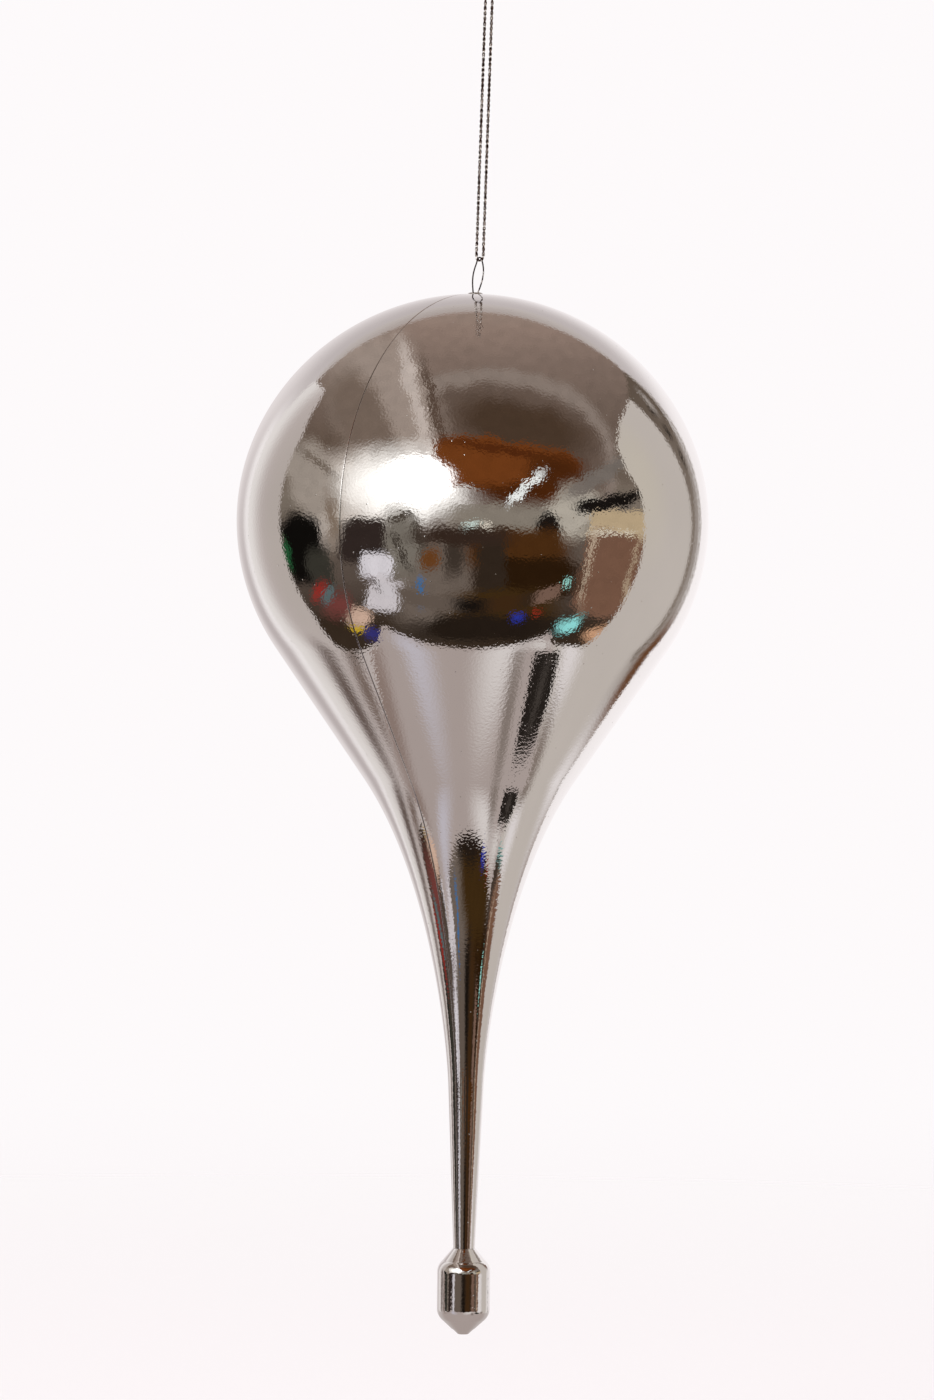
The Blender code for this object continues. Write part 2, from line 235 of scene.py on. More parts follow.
def turned(name, runs, segments, lift=(0.0, 0.0, 0.0)):
    """A solid turned about Z from profile runs.

    Each run is smooth in itself, and its ends are creases where the normals differ."""
    points, rings, faces, normals = [], [], [], []

    def ring_at(radius, z):
        for near_radius, near_z, indices in rings[-1:] + rings[:1]:
            if abs(near_radius - radius) < TINY and abs(near_z - z) < TINY:
                return indices
        start = len(points)
        if radius < TINY:
            points.append((lift[0], lift[1], z + lift[2]))
            indices = [start]
        else:
            for i in range(segments):
                a = TAU * i / segments
                points.append(
                    (lift[0] + radius * math.cos(a), lift[1] + radius * math.sin(a), z + lift[2])
                )
            indices = list(range(start, start + segments))
        rings.append((radius, z, indices))
        return indices

    for run in runs:
        for upper, lower in zip(run, run[1:]):
            above, below = ring_at(*upper[:2]), ring_at(*lower[:2])
            if above is below or (len(above) == 1 and len(below) == 1):
                continue
            for i in range(segments):
                k = (i + 1) % segments
                a, b = TAU * i / segments, TAU * (i + 1) / segments
                corners = [
                    (above[k % len(above)], b, upper),
                    (above[i % len(above)], a, upper),
                    (below[i % len(below)], a, lower),
                    (below[k % len(below)], b, lower),
                ]
                seen, kept = set(), []
                for corner in corners:
                    if corner[0] not in seen:
                        seen.add(corner[0])
                        kept.append(corner)
                middle = (a + b) / 2.0
                faces.append([point for point, *_ in kept])
                face_normals = []
                for _, angle, (radius, _, nr, nz) in kept:
                    side = middle if radius < TINY else angle
                    normal = Vector((nr * math.cos(side), nr * math.sin(side), nz))
                    face_normals.append(normal.normalized())
                normals.append(face_normals)
    return mesh_with_normals(name, points, faces, normals)


def smooth_route(route, spacing):
    """Points about a spacing apart on a centripetal Catmull-Rom curve through a route's points."""
    route = [Vector(p) for p in route]
    ends = [2.0 * route[0] - route[1]] + route + [2.0 * route[-1] - route[-2]]
    points = [route[0]]
    for p0, p1, p2, p3 in zip(ends, ends[1:], ends[2:], ends[3:]):
        t1 = math.sqrt((p1 - p0).length)
        t2 = t1 + math.sqrt((p2 - p1).length)
        t3 = t2 + math.sqrt((p3 - p2).length)
        steps = max(1, round((p2 - p1).length / spacing))
        for i in range(1, steps + 1):
            t = t1 + (t2 - t1) * i / steps
            a1 = p0.lerp(p1, t / t1)
            a2 = p1.lerp(p2, (t - t1) / (t2 - t1))
            a3 = p2.lerp(p3, (t - t2) / (t3 - t2))
            b1 = a1.lerp(a2, t / t2)
            b2 = a2.lerp(a3, (t - t1) / (t3 - t1))
            points.append(b1.lerp(b2, (t - t1) / (t2 - t1)))
    return points


def even_route(points, spacing):
    """The same line, read at even steps."""
    lengths = [0.0]
    for a, b in zip(points, points[1:]):
        lengths.append(lengths[-1] + (b - a).length)
    count = max(2, round(lengths[-1] / spacing))
    made, k = [], 0
    for i in range(count + 1):
        s = lengths[-1] * i / count
        while k < len(points) - 2 and lengths[k + 1] < s:
            k += 1
        span = lengths[k + 1] - lengths[k]
        made.append(points[k].lerp(points[k + 1], min(1.0, (s - lengths[k]) / span)))
    return made


def frames_along(points, first_across):
    """Two directions across the line at each point, carried along it without twist."""
    frames = []
    across = Vector(first_across)
    for i, point in enumerate(points):
        ahead = points[min(i + 1, len(points) - 1)]
        behind = points[max(i - 1, 0)]
        along = (ahead - behind).normalized()
        across = (across - along * across.dot(along)).normalized()
        frames.append((along, across, along.cross(across)))
    return frames


class Soup:
    """Points, faces and corner normals of several closed tubes gathered in one mesh."""

    def __init__(self):
        self.points, self.faces = [], []

    def tube(self, rings, start_cap, end_cap):
        """Rings of equal count, closed at both ends by a point."""
        base = len(self.points)
        sides = len(rings[0])
        for ring in rings:
            self.points += ring
        for k in range(len(rings) - 1):
            a, b = base + k * sides, base + (k + 1) * sides
            for i in range(sides):
                j = (i + 1) % sides
                self.faces.append([a + i, a + j, b + j, b + i])
        last = base + (len(rings) - 1) * sides
        for ring, tip, flip in ((base, start_cap, True), (last, end_cap, False)):
            centre = len(self.points)
            self.points.append(tip)
            for i in range(sides):
                j = (i + 1) % sides
                face = [ring + i, ring + j, centre]
                self.faces.append(face[::-1] if flip else face)

    def mesh(self, name):
        mesh = bpy.data.meshes.new(name)
        mesh.from_pydata([tuple(p) for p in self.points], [], self.faces)
        mesh.update()
        mesh.shade_smooth()
        return mesh


def round_tube(soup, points, diameter, sides, first_across, dome=0.35):
    """A tube with rounded ends."""
    frames = frames_along(points, first_across)
    radius = diameter / 2.0
    depth = radius * dome
    end_angles = [math.radians(a) for a in (20, 45, 70)]

    def ring(centre, r, frame):
        _, across, up = frame
        return [
            centre + across * (r * math.cos(TAU * i / sides)) + up * (r * math.sin(TAU * i / sides))
            for i in range(sides)
        ]

    def end_ring(k, a, outwards):
        along = frames[k][0] * outwards
        return ring(points[k] + along * (depth * (math.cos(a) - 1.0)), radius * math.sin(a), frames[k])

    rings = [end_ring(0, a, -1.0) for a in end_angles]
    rings += [ring(point, radius, frame) for point, frame in list(zip(points, frames))[1:-1]]
    rings += [end_ring(-1, a, 1.0) for a in reversed(end_angles)]
    soup.tube(rings, points[0], points[-1])


# ------------ the shell's outline, with normals


def shell_outline(crown_steps, lower_steps, cone_steps, flare_steps, stem_steps):
    """Entries of (radius, height above the pole, normal radius, normal z) down the outside."""
    entries = []
    hole_angle = math.acos((CROWN_HOLE_RADIUS / BODY_RADIUS) ** (CROWN_EXPONENT / 2.0))
    for i in range(crown_steps + 1):
        angle = hole_angle * (1.0 - i / crown_steps)
        c = math.cos(angle) ** (2.0 / CROWN_EXPONENT)
        s = math.sin(angle) ** (2.0 / CROWN_EXPONENT) if angle > 0 else 0.0
        normal = Vector(
            (c ** (CROWN_EXPONENT - 1.0) / BODY_RADIUS, s ** (CROWN_EXPONENT - 1.0) / CROWN_HEIGHT)
        ).normalized()
        entries.append((BODY_RADIUS * c, CROWN_HEIGHT * (s - 1.0), normal.x, normal.y))
    for i in range(1, lower_steps + 1):
        angle = LOWER_ARC * i / lower_steps
        normal = Vector((math.cos(angle) / BODY_RADIUS, -math.sin(angle) / LOWER_DEPTH)).normalized()
        drop = CROWN_HEIGHT + LOWER_DEPTH * math.sin(angle)
        entries.append((BODY_RADIUS * math.cos(angle), -drop, normal.x, normal.y))
    round_end = Vector(entries[-1][:2])
    slope = Vector((-BODY_RADIUS * math.sin(LOWER_ARC), -LOWER_DEPTH * math.cos(LOWER_ARC)))
    slope.normalize()
    cone_end = round_end + slope * CONE_LENGTH
    for i in range(1, cone_steps + 1):
        point = round_end.lerp(cone_end, i / cone_steps)
        entries.append((point.x, point.y, -slope.y, slope.x))
    end = Vector((STEM_TOP_RADIUS, -STEM_TOP_DEPTH))
    stem = (Vector((NECK_RADIUS, -NECK_DEPTH)) - end).normalized()
    upper = cone_end + slope * FLARE_UPPER_HANDLE
    lower = end - stem * FLARE_LOWER_HANDLE
    for i in range(1, flare_steps + 1):
        t = i / flare_steps
        s = 1.0 - t
        point = cone_end * s**3 + upper * 3 * s * s * t + lower * 3 * s * t * t + end * t**3
        along = (upper - cone_end) * s * s + (lower - upper) * 2 * s * t + (end - lower) * t * t
        along.normalize()
        entries.append((point.x, point.y, -along.y, along.x))
    neck = Vector((NECK_RADIUS, -NECK_DEPTH))
    for i in range(1, stem_steps + 1):
        point = end.lerp(neck, i / stem_steps)
        entries.append((point.x, point.y, -stem.y, stem.x))
    return entries


SEAM_GAP = 0.13 * MM
SEAM_ROUNDING = 0.26 * MM
SEAM_ROUNDING_SHARE = 0.3
SEAM_ROUND_STEPS = 4
HALF_TURN_STEPS = 120
INNER_SKIP = 6
# Steps down the crown, the round lower half, the cone, the flare and the stem.
OUTLINE_STEPS = (72, 36, 18, 84, 20)


def wall_at(radius):
    return min(WALL, STEM_WALL_SHARE * radius)


def half_ring(radius, z, plane):
    """The angles and points round the part of a circle that lies past a plane across Y."""
    start = math.asin(max(-1.0, min(1.0, plane / radius)))
    sweep = math.pi - 2.0 * start
    angles = [start + sweep * i / HALF_TURN_STEPS for i in range(HALF_TURN_STEPS + 1)]
    return angles, [(radius * math.cos(a), radius * math.sin(a), z) for a in angles]


def half_shell(name, has_tongue, turn):
    """Half of the hollow shell as one closed solid, with rounded seam edges and the lap joint inside."""
    entries = shell_outline(*OUTLINE_STEPS)
    corners, faces, normals = [], [], []
    last = len(entries) - 1
    for row, (radius, z, nr, nz) in enumerate(entries):
        if row == 0:
            inwards = Vector((0.0, -1.0))
        elif row == last:
            inwards = Vector((-1.0, 0.0))
        else:
            inwards = -Vector((nr, nz))
        wall = WALL if row == 0 else wall_at(radius)
        rounding = min(SEAM_ROUNDING, SEAM_ROUNDING_SHARE * wall)

        def at(depth):
            return radius + inwards.x * depth, z + inwards.y * depth

        plane = SEAM_GAP / 2.0
        angles, outer = half_ring(radius, z, plane + rounding)
        ring = [
            (point, Vector((nr * math.cos(a), nr * math.sin(a), nz)))
            for point, a in zip(outer, angles)
        ]
        ends = []
        for i in range(1, SEAM_ROUND_STEPS + 1):
            a = math.pi / 2.0 * i / SEAM_ROUND_STEPS
            r, h = at(rounding * (1.0 - math.cos(a)))
            ends.append(
                (half_ring(r, h, plane + rounding * (1.0 - math.sin(a)))[1], math.cos(a), math.sin(a))
            )
        share = wall * 0.5 + (GAP / 2.0 if has_tongue else -GAP / 2.0)
        r, h = at(share)
        lip = min(SEAM_LIP, SEAM_LIP_SHARE * (radius - wall))
        inner_plane = -lip if has_tongue else lip + GAP
        middle = half_ring(r, h, plane)[1]
        lipped = half_ring(r, h, inner_plane)[1]
        r, h = at(wall)
        inner = half_ring(r, h, inner_plane)[1]
        edges = []
        for side in (-1, 0):
            edge = [
                (half[side], (ring[side][1] * c + Vector((0.0, -1.0, 0.0)) * s).normalized())
                for half, c, s in ends
            ]
            edges.append(edge + [(middle[side], None), (lipped[side], None)])
        inside = [(point, None) for point in inner[::-1][::INNER_SKIP]]
        corners += ring + edges[0] + inside + edges[1][::-1]
    count = len(corners) // len(entries)
    rotation = Matrix.Rotation(turn, 4, "Z")
    moved = [tuple(POLE + rotation @ Vector(point)) for point, _ in corners]
    turned_normals = [None if n is None else rotation.to_3x3() @ n for _, n in corners]
    for k in range(last):
        for i in range(count):
            j = (i + 1) % count
            face = [k * count + i, (k + 1) * count + i, (k + 1) * count + j, k * count + j]
            corner = [turned_normals[v] for v in face]
            faces.append(face)
            normals.append(None if any(n is None for n in corner) else corner)
    inner_first = HALF_TURN_STEPS + 1 + SEAM_ROUND_STEPS + 2
    inner_steps = HALF_TURN_STEPS // INNER_SKIP
    inner_last = inner_first + inner_steps
    end_faces = [[*range(HALF_TURN_STEPS, inner_first + 1)], [*range(inner_last, count), 0]]
    for i in range(inner_steps):
        across = range(i * INNER_SKIP, (i + 1) * INNER_SKIP + 1)
        end_faces.append([*across, inner_last - i - 1, inner_last - i])
    for start, flip in ((0, False), (last * count, True)):
        for face in end_faces:
            face = [start + v for v in face]
            faces.append(face[::-1] if flip else face)
            normals.append(None)
    return mesh_with_normals(name, moved, faces, normals)


# ------------ the tip bob, the cap and the wire


TIP_JOINT_GAP = 0.06 * MM
TIP_SEGMENTS = 144
CAP_TOP = 0.55 * MM
CAP_UNDERSIDE = 0.05 * MM
CAP_SEGMENTS = 96
WIRE_SIDES = 16
WIRE_STEP = 0.3 * MM


def tip_runs():
    """The profile of the tip bob, from the spigot's end down to the nub's flat face."""
    neck = -TIP_JOINT_GAP
    shoulder = (TIP_RADIUS - TIP_SHOULDER_CURVE, -TIP_SHOULDER_DEPTH)
    belly = (TIP_RADIUS - TIP_BELLY_CURVE, -TIP_BELLY_DEPTH)
    shoulder_arc = run_arc(shoulder, TIP_SHOULDER_CURVE, TIP_SHOULDER_ANGLE, 0.0, 20)
    belly_arc = run_arc(belly, TIP_BELLY_CURVE, 0.0, TIP_BELLY_ANGLE, 20)
    top = shoulder_arc[0][:2]
    bottom = belly_arc[-1][:2]
    runs = rounded(
        [
            (0.0, SPIGOT_LENGTH), (SPIGOT_RADIUS, SPIGOT_LENGTH),
            (SPIGOT_RADIUS, neck), (NECK_RADIUS, neck), top,
        ],
        [0.0, 0.4 * MM, 0.0, 0.12 * MM, 0.0],
    )
    runs.append(shoulder_arc)
    runs.append(run_line(shoulder_arc[-1][:2], belly_arc[0][:2], 6))
    runs.append(belly_arc)
    runs += rounded(
        [
            bottom, (TIP_CONE_RADIUS, -TIP_CONE_DEPTH), (NUB_RADIUS, -TIP_CONE_DEPTH - NUB_STEP),
            (NUB_FACE_RADIUS, -TIP_HEIGHT), (0.0, -TIP_HEIGHT),
        ],
        [0.0, 0.0, 0.0, 0.35 * MM, 0.0],
    )
    return runs


def cap_runs():
    """The cap's closed profile, which starts and ends half-way down its bore."""
    bead = -WALL - 2.0 * GAP
    corners = [
        (CAP_BORE_RADIUS, -CAP_LENGTH / 2.0), (CAP_BORE_RADIUS, CAP_TOP),
        (CAP_FLANGE_RADIUS - 0.75 * MM, CAP_TOP), (CAP_FLANGE_RADIUS, CAP_UNDERSIDE + 0.1 * MM),
        (CAP_FLANGE_RADIUS, CAP_UNDERSIDE), (CAP_BARREL_RADIUS, CAP_UNDERSIDE),
        (CAP_BARREL_RADIUS, bead), (CAP_BEAD_RADIUS, bead - 0.25 * MM),
        (CAP_BEAD_RADIUS, bead - 0.55 * MM), (CAP_BARREL_RADIUS, -CAP_LENGTH),
        (CAP_BORE_RADIUS, -CAP_LENGTH), (CAP_BORE_RADIUS, -CAP_LENGTH / 2.0),
    ]
    radii = [0.0, 0.15, 0.4, 0.04, 0.0, 0.0, 0.0, 0.1, 0.1, 0.1, 0.15, 0.0]
    return rounded(corners, [r * MM for r in radii])


def hanger_route():
    """The wire's route from one leg's end round the eye to the other's."""
    leg = [(7.2, -6.4), (6.3, -5.5), (4.2, -5.05), (2.5, -5.0), (1.5, -4.5), (1.15, -3.1)]
    left_side = [(-1.12, 0.0), (-1.45, 4.4), (-1.2, 7.2), (-0.5, 9.6), (0.3, 11.5)]
    right_side = [(3.62, 11.2), (3.9, 8.8), (3.5, 5.9), (2.3, 2.6), (1.12, 0.0)]
    eye_arc = run_arc(EYE_CENTRE, EYE_ARC_RADIUS, math.radians(172), math.radians(8), 6)
    eye = [(u / MM, w / MM) for u, w, *_ in eye_arc]
    flat = [(-u, w) for u, w in leg] + left_side + eye + right_side + list(reversed(leg))
    across = level(WIRE_AZIMUTH)
    return [POLE + across * (u * MM) + Vector((0.0, 0.0, w * MM)) for u, w in flat]


# ------------ the cord

PLIES = 2
PLY_RADIUS = 0.325 * MM
PLY_OFFSET = 0.275 * MM
CORD_PITCH = 3.9 * MM
YARNS = 5
YARN_PITCH = 2.4 * MM
YARN_DEPTH = 0.014 * MM
PLY_SIDES = 16
CORD_STEP = 0.18 * MM
LOOP_ROUTE_STEP = 0.25 * MM
KNOT_ROUTE_STEP = 0.2 * MM
PLY_END_DOME = 0.4
KNOT_FRAY = 0.35 * MM
FRAY_START = 0.55
FRAY_CURVE = 1.5
KNOT_PHASE = 1.3


def add_twisted_cord(soup, points, first_across, phase=0.0, fray=None):
    """Plies twisted round each other along a line of even points. Each ply is a few yarns."""
    frames = frames_along(points, first_across)
    step = (points[1] - points[0]).length
    for ply in range(PLIES):
        rings = []
        centres = []
        for i, (point, (_, across, up)) in enumerate(zip(points, frames)):
            s = i * step
            a = phase + TAU * (s / CORD_PITCH + ply / PLIES)
            offset = PLY_OFFSET
            if fray:
                past = max(0.0, (i / len(points) - FRAY_START) / (1.0 - FRAY_START))
                offset += fray * past**FRAY_CURVE
            centres.append(point + (across * math.cos(a) + up * math.sin(a)) * offset)
        ply_frames = frames_along(centres, first_across)
        for i, (centre, (_, across, up)) in enumerate(zip(centres, ply_frames)):
            spin = -TAU * i * step / YARN_PITCH + ply
            ring = []
            for k in range(PLY_SIDES):
                b = TAU * k / PLY_SIDES
                ripple = abs(math.cos(YARNS * (b - spin) / 2.0))
                r = PLY_RADIUS - YARN_DEPTH * (1.0 - ripple)
                ring.append(centre + across * (r * math.cos(b)) + up * (r * math.sin(b)))
            rings.append(ring)
        start = centres[0] - ply_frames[0][0] * (PLY_END_DOME * PLY_RADIUS)
        end = centres[-1] + ply_frames[-1][0] * (PLY_END_DOME * PLY_RADIUS)
        soup.tube(rings, start, end)


def loop_route():
    """The loop's centreline: one strand down from the knot, round the hanger's eye and back up."""
    strand = [(0.62, 5.7), (0.85, 4.2), (1.5, 1.6), (1.94, -1.2)]
    strand += [(2.0, z) for z in (-5.0, -20.0, -40.0, -60.0, -80.0, -96.0)]
    bight = run_arc((0.0, STRAND_OFFSET - CORD_DROP), STRAND_OFFSET, math.pi, TAU, 6)
    flat = [(-v * MM, z * MM) for v, z in strand]
    flat += [(v, z) for v, z, *_ in bight]
    flat += [(v * MM, z * MM) for v, z in reversed(strand)]
    across = level(CORD_AZIMUTH)
    lean = Vector((math.tan(CORD_LEAN), 0.0, 1.0))
    return [across * v + lean * z for v, z in flat]


def knot_lines():
    """The centrelines of the two strands through the overhand knot and out as its tails."""
    across = level(CORD_AZIMUTH)
    beside = Vector((-across.y, across.x, 0.0))
    lines = []
    for side in (-1.0, 1.0):
        route = [
            (0.62 * side, 0.0, 5.6), (0.56 * side, 0.1, 6.6),
            (0.35 + 0.5 * side, -0.55, 7.7),
            (1.25 + 0.25 * side, -0.2, 8.7 + 0.35 * side),
            (1.0, 1.25, 9.6 + 0.55 * side),
            (-0.65, 1.55, 9.9 + 0.55 * side),
            (-1.6, 0.25, 9.3 + 0.55 * side),
            (-1.05, -1.35, 8.3 + 0.55 * side),
            (0.55, -1.75, 7.9 + 0.55 * side),
            (1.65, -0.75, 8.6 + 0.5 * side + 0.35),
            (0.95 + 0.3 * side, 0.1, 10.4),
            (0.2 + 0.5 * side, 0.15, 11.8), (0.5 * side, 0.0, 13.0),
        ]
        if side > 0:
            route += [(1.5, 0.45, 15.8), (3.1, 0.9, 18.3)]
        else:
            route += [(-1.3, -0.5, 16.2), (-2.1, -1.15, 19.2)]
        lines.append([across * (u * MM) + beside * (w * MM) + Vector((0, 0, z * MM)) for u, w, z in route])
    return lines


# ------------ node helpers


class Graph:
    """Short calls that add nodes to one tree and join them."""

    def __init__(self, tree):
        self.tree = tree
        self.nodes = tree.nodes
        self.links = tree.links
        self.column = 0

    def add(self, kind, inputs=None, **settings):
        node = self.nodes.new(kind)
        self.column += 1
        node.location = (self.column * 40, -(self.column % 9) * 160)
        for key, value in settings.items():
            setattr(node, key, value)
        for key, value in (inputs or {}).items():
            socket = node.inputs[key]
            if isinstance(value, bpy.types.NodeSocket):
                self.links.new(value, socket)
            else:
                socket.default_value = value
        return node

    def math(self, operation, a, b=0.0, c=None, clamp=False):
        inputs = {0: a, 1: b}
        if c is not None:
            inputs[2] = c
        return self.add("ShaderNodeMath", inputs, operation=operation, use_clamp=clamp).outputs[0]

    def vector(self, operation, a, b=(0.0, 0.0, 0.0)):
        node = self.add("ShaderNodeVectorMath", {0: a, 1: b}, operation=operation)
        return node.outputs["Value"] if operation in ("LENGTH", "DOT_PRODUCT") else node.outputs[0]

    def mix(self, factor, a, b):
        inputs = {0: factor, 6: a, 7: b}
        return self.add("ShaderNodeMix", inputs, data_type="RGBA", blend_type="MIX").outputs[2]

    def smoothstep(self, value, low, high):
        node = self.add(
            "ShaderNodeMapRange",
            {"Value": value, "From Min": low, "From Max": high, "To Min": 0.0, "To Max": 1.0},
            interpolation_type="SMOOTHSTEP",
        )
        return node.outputs["Result"]

    def noise(self, coordinates, scale, detail=2.0, roughness=0.5):
        inputs = {"Vector": coordinates, "Scale": scale, "Detail": detail, "Roughness": roughness}
        return self.add("ShaderNodeTexNoise", inputs).outputs["Fac"]

    def cells(self, coordinates, scale):
        """The distance to the middle of the nearest random cell, and a random number for that cell."""
        inputs = {"Vector": coordinates, "Scale": scale}
        made = self.add("ShaderNodeTexVoronoi", inputs, feature="F1").outputs
        number = self.add("ShaderNodeSeparateColor", {"Color": made["Color"]}).outputs[0]
        return made["Distance"], number

    def coordinates(self):
        return self.add("ShaderNodeTexCoord").outputs["Object"]

    def bump(self, height, distance, strength=1.0, normal=None):
        inputs = {"Strength": strength, "Distance": distance, "Height": height}
        if normal is not None:
            inputs["Normal"] = normal
        return self.add("ShaderNodeBump", inputs).outputs[0]

    def scaled(self, vector, factor):
        inputs = {0: vector, "Scale": factor}
        return self.add("ShaderNodeVectorMath", inputs, operation="SCALE").outputs[0]


def linear(value):
    value /= 255.0
    return value / 12.92 if value <= 0.04045 else ((value + 0.055) / 1.055) ** 2.4


def colour(rgb, gain=1.0):
    return (*[linear(c) * gain for c in rgb], 1.0)


def new_material(name):
    made = bpy.data.materials.new(name)
    made.use_nodes = True
    graph = Graph(made.node_tree)
    shader = made.node_tree.nodes["Principled BSDF"]
    return made, graph, shader


# ------------ materials

MIRROR_TINT = (0.83, 0.815, 0.80)


def mirror_material(name):
    """Vacuum-metallised plastic under a clear lacquer: orange peel, dust specks and a faint haze."""
    made, g, shader = new_material(name)
    coords = g.coordinates()
    peel = g.noise(coords, 1000.0, 1.0, 0.5)
    wave = g.noise(coords, 55.0, 1.0, 0.4)
    distance, number = g.cells(coords, 420.0)
    speck = g.math("MULTIPLY", g.smoothstep(number, 0.90, 0.91), g.smoothstep(distance, 0.13, 0.05))
    haze = g.noise(coords, 28.0, 3.0, 0.6)

    tone = g.mix(g.smoothstep(haze, 0.35, 0.7), (*MIRROR_TINT, 1.0), (0.815, 0.80, 0.787, 1.0))
    tone = g.mix(g.math("MULTIPLY", speck, 0.4), tone, (0.60, 0.58, 0.55, 1.0))
    g.links.new(tone, shader.inputs["Base Color"])
    shader.inputs["Metallic"].default_value = 1.0
    roughness = g.math("ADD", g.math("MULTIPLY", haze, 0.03), 0.02)
    roughness = g.math("ADD", roughness, g.math("MULTIPLY", speck, 0.25))
    g.links.new(roughness, shader.inputs["Roughness"])
    waved = g.bump(wave, 0.012 * MM)
    peeled = g.bump(peel, 0.029 * MM, normal=waved)
    g.links.new(g.bump(speck, 0.05 * MM, normal=peeled), shader.inputs["Normal"])
    return made


def cap_material():
    """Metallised plastic, duller than the shell and slightly grainy."""
    made, g, shader = new_material("cap_metallised")
    grain = g.noise(g.coordinates(), 2600.0, 3.0, 0.6)
    tone = g.mix(grain, (0.62, 0.60, 0.58, 1.0), (0.74, 0.72, 0.70, 1.0))
    g.links.new(tone, shader.inputs["Base Color"])
    shader.inputs["Metallic"].default_value = 1.0
    g.links.new(g.math("ADD", g.math("MULTIPLY", grain, 0.15), 0.1), shader.inputs["Roughness"])
    g.links.new(g.bump(grain, 0.01 * MM, 0.6), shader.inputs["Normal"])
    return made


def wire_material():
    """Drawn spring wire, dark in a tone that is partly painted dark reflection, with short bright
    stretches painted in as highlights.
    """
    made, g, shader = new_material("spring_wire")
    coords = g.coordinates()
    stretched = g.vector("MULTIPLY", coords, (1.0, 1.0, 0.25))
    grain = g.noise(stretched, 4200.0, 4.0, 0.6)
    glint_stretches = g.noise(coords, 420.0, 2.0, 0.5)
    # The dark tones are partly the wire's colour and partly painted dark reflection.
    tone = g.mix(grain, (0.014, 0.008, 0.007, 1.0), (0.07, 0.042, 0.036, 1.0))
    # Short bright stretches: painted highlights.
    tone = g.mix(g.smoothstep(glint_stretches, 0.6, 0.66), tone, (0.72, 0.69, 0.67, 1.0))
    g.links.new(tone, shader.inputs["Base Color"])
    shader.inputs["Metallic"].default_value = 0.7
    g.links.new(g.math("ADD", g.math("MULTIPLY", grain, 0.2), 0.16), shader.inputs["Roughness"])
    g.links.new(g.bump(grain, 0.01 * MM, 0.7), shader.inputs["Normal"])
    return made


def cord_material():
    """Silver tinsel yarn: flat metallised strips on a dark thread that shows between them. The thread's
    dark tone is partly painted dark reflection, and the darker patches are painted dark reflection.
    """
    made, g, shader = new_material("tinsel_cord")
    coords = g.coordinates()
    facet = g.cells(coords, 1700.0)[1]
    fibre = g.noise(coords, 3800.0, 3.0, 0.65)
    dark_reflection_patches = g.noise(coords, 600.0, 2.0, 0.5)
    # Bright strips and dark thread in random cells; the dark tone is partly painted dark reflection.
    tone = g.mix(g.smoothstep(facet, 0.5, 0.66), (0.10, 0.058, 0.052, 1.0), (0.94, 0.92, 0.90, 1.0))
    # Darker random patches: painted dark reflection.
    tone = g.mix(g.smoothstep(dark_reflection_patches, 0.52, 0.8), tone, (0.16, 0.10, 0.09, 1.0))
    g.links.new(tone, shader.inputs["Base Color"])
    thread = g.math("MULTIPLY", g.smoothstep(fibre, 0.55, 0.8), 0.5)
    g.links.new(g.math("SUBTRACT", 1.0, thread), shader.inputs["Metallic"])
    g.links.new(g.math("ADD", g.math("MULTIPLY", facet, 0.12), 0.08), shader.inputs["Roughness"])
    faceted = g.bump(facet, 0.01 * MM, 0.6)
    g.links.new(g.bump(fibre, 0.01 * MM, 0.5, faceted), shader.inputs["Normal"])
    return made


# ------------ the pieces

shell_look = mirror_material("mirror_shell")
tip_look = mirror_material("mirror_tip")
cap_look = cap_material()
wire_look = wire_material()
cord_look = cord_material()


def place(mesh, look, body, node):
    """Puts a piece under its mesh's name in the scene, on its body and in place of its CAD node."""
    mesh.materials.append(look)
    made = new_object(mesh.name, mesh)
    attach(made, body)
    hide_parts(node)
    return made


cord_line = even_route(smooth_route(loop_route(), LOOP_ROUTE_STEP), CORD_STEP)
across_cord = level(CORD_AZIMUTH)
soup = Soup()
add_twisted_cord(soup, cord_line, across_cord)
cord = place(soup.mesh("cord_loop_twist"), cord_look, "cord_loop", "hanging_cord")

soup = Soup()
for number, line in enumerate(knot_lines()):
    strand = even_route(smooth_route(line, KNOT_ROUTE_STEP), CORD_STEP)
    add_twisted_cord(soup, strand, across_cord, KNOT_PHASE * number, KNOT_FRAY)
knot = place(soup.mesh("cord_knot_twist"), cord_look, "cord_loop", "cord_knot")

soup = Soup()
wire_line = smooth_route(hanger_route(), WIRE_STEP)
round_tube(soup, wire_line, WIRE_DIAMETER, WIRE_SIDES, (0.0, 0.0, 1.0))
place(soup.mesh("wire_hanger_fine"), wire_look, "hanger", "wire_hanger")

cap = turned("cap_fine", cap_runs(), CAP_SEGMENTS, POLE)
place(cap, cap_look, "cap", "hanger_cap")
left = half_shell("left_shell_fine", True, SEAM_AZIMUTH + math.pi / 2.0)
place(left, shell_look, "drop", "left_half_shell")
right = half_shell("right_shell_fine", False, SEAM_AZIMUTH - math.pi / 2.0)
place(right, shell_look, "drop", "right_half_shell")
tip = turned("tip_fine", tip_runs(), TIP_SEGMENTS, POLE - Vector((0.0, 0.0, NECK_DEPTH)))
place(tip, tip_look, "drop", "tip_bob")

# ------------ the studio

REFLECTANCE = 0.82


def seen(rgb, gain=1.0):
    """The light that a surface gives so that the mirror shows it in this tone."""
    return colour(rgb, gain / REFLECTANCE)


